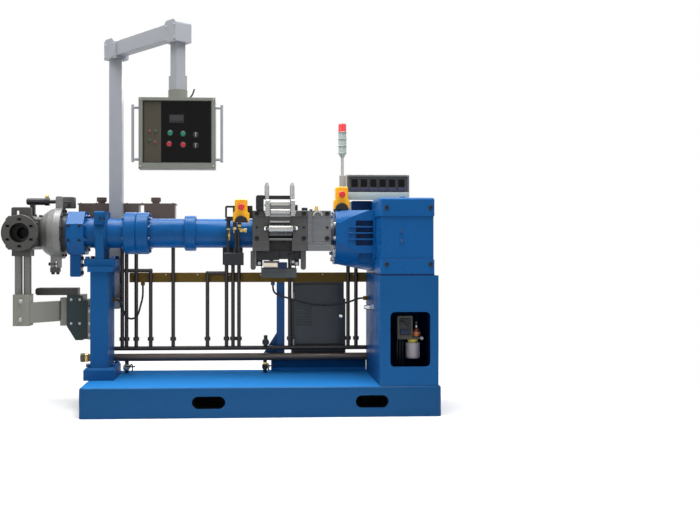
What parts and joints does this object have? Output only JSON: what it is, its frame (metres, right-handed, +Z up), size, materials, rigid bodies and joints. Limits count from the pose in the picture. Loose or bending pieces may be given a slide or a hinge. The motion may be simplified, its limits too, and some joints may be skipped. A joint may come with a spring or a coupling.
{
  "type": "silicone rubber extruder",
  "caption": "Silicone rubber extruder with a roller feed block, a cross-head on a carrier arm, a gear reducer on a stand and a swinging operator panel.",
  "frame": {"origin": "middle of the plinth's underside, on the floor", "axes": "+X along the barrel from the head to the gear reducer, +Y away from the operator, +Z up"},
  "size_m": [2.569, 0.8, 2.296],
  "materials": {
    "blue_paint": "glossy",
    "cast_grey": "satin",
    "machined_steel": "satin",
    "dark_steel": "satin",
    "bright_steel": "polished",
    "light_grey_paint": "satin",
    "teal_grey_paint": "satin",
    "beige_paint": "satin",
    "black_rubber": "matt",
    "black_plastic": "matt",
    "screen": "glossy",
    "button_green": "glossy",
    "yellow_plastic": "glossy",
    "red_plastic": "glossy",
    "lamp_grey": "satin",
    "ochre_paint": "satin",
    "tank_brown": "satin",
    "white_plastic": "glossy",
    "pipe_steel": "satin",
    "cabinet_grey": "satin"
  },
  "bodies": {
    "machine": {"base_plinth": "blue_paint", "left_column": "blue_paint", "barrel_saddle": "blue_paint", "saddle_cap": "blue_paint", "gearbox_stand": "blue_paint", "lube_pump": "cabinet_grey", "lube_reservoir": "white_plastic", "gearbox_housing": "blue_paint", "gearbox_lid": "blue_paint", "bearing_lantern": "blue_paint", "feed_block": "machined_steel", "feed_side_block": "machined_steel", "roller_side_plates": "machined_steel", "strip_guide": "machined_steel", "roller_motor": "black_plastic", "feed_hangers": "machined_steel", "drip_tray": "cabinet_grey", "barrel_rear": "blue_paint", "barrel_collar": "blue_paint", "rear_barrel_flange": "blue_paint", "front_barrel_flange": "blue_paint", "barrel_front": "blue_paint", "head_flange": "blue_paint", "head_neck": "dark_steel", "head_clamp_ring": "cast_grey", "clamp_cylinder": "dark_steel", "cross_head_body": "cast_grey", "cross_head_flange": "cast_grey", "head_columns": "machined_steel", "carrier_bracket": "beige_paint", "carrier_arm": "beige_paint", "arm_box": "teal_grey_paint", "arm_plates": "beige_paint", "stop_brackets": "black_plastic", "stop_boxes": "yellow_plastic", "stop_buttons": "red_plastic", "controller_box": "light_grey_paint", "controller_modules": "screen", "tower_post": "bright_steel", "tower_body": "lamp_grey", "tower_red_lens": "red_plastic", "mast": "light_grey_paint", "manifolds": "pipe_steel", "riser_pipes": "pipe_steel", "pipe_valves": "dark_steel", "cable_trunk": "ochre_paint", "heating_cabinet": "cabinet_grey", "rear_tanks": "tank_brown", "sagging_cable": "black_rubber", "hose_loop": "black_rubber"},
    "boom_arm": {"boom": "light_grey_paint", "drop_tube": "light_grey_paint"},
    "panel": {"panel_box": "light_grey_paint", "panel_window": "screen", "panel_buttons": "button_green", "panel_handles": "light_grey_paint"},
    "upper_roller": {"guide_roller_upper": "bright_steel"},
    "lower_roller": {"guide_roller_lower": "bright_steel"},
    "pressing_roller": {"press_roller": "bright_steel"},
    "feeding_drum": {"feed_drum": "dark_steel"}
  },
  "joints": [
    {"name": "boom_swing", "type": "hinge", "parent": "machine", "child": "boom_arm", "pos_m": [-0.919, 0.28, 2.232], "axis": [0, 0, 1], "range_deg": [-60, 50]},
    {"name": "panel_swivel", "type": "hinge", "parent": "boom_arm", "child": "panel", "pos_m": [-0.48414, -0.25701, 1.86], "axis": [0, 0, 1], "range_deg": [-120, 120]},
    {"name": "upper_roller_spin", "type": "hinge", "parent": "machine", "child": "upper_roller", "pos_m": [0.118, -0.142, 1.237], "axis": [1, 0, 0], "continuous": true},
    {"name": "lower_roller_spin", "type": "hinge", "parent": "machine", "child": "lower_roller", "pos_m": [0.118, -0.142, 1.188], "axis": [1, 0, 0], "continuous": true},
    {"name": "pressing_roller_spin", "type": "hinge", "parent": "machine", "child": "pressing_roller", "pos_m": [0.118, -0.126, 1.086], "axis": [1, 0, 0], "continuous": true},
    {"name": "feeding_drum_spin", "type": "hinge", "parent": "machine", "child": "feeding_drum", "pos_m": [0.118, -0.07, 1.058], "axis": [1, 0, 0], "continuous": true}
  ]
}
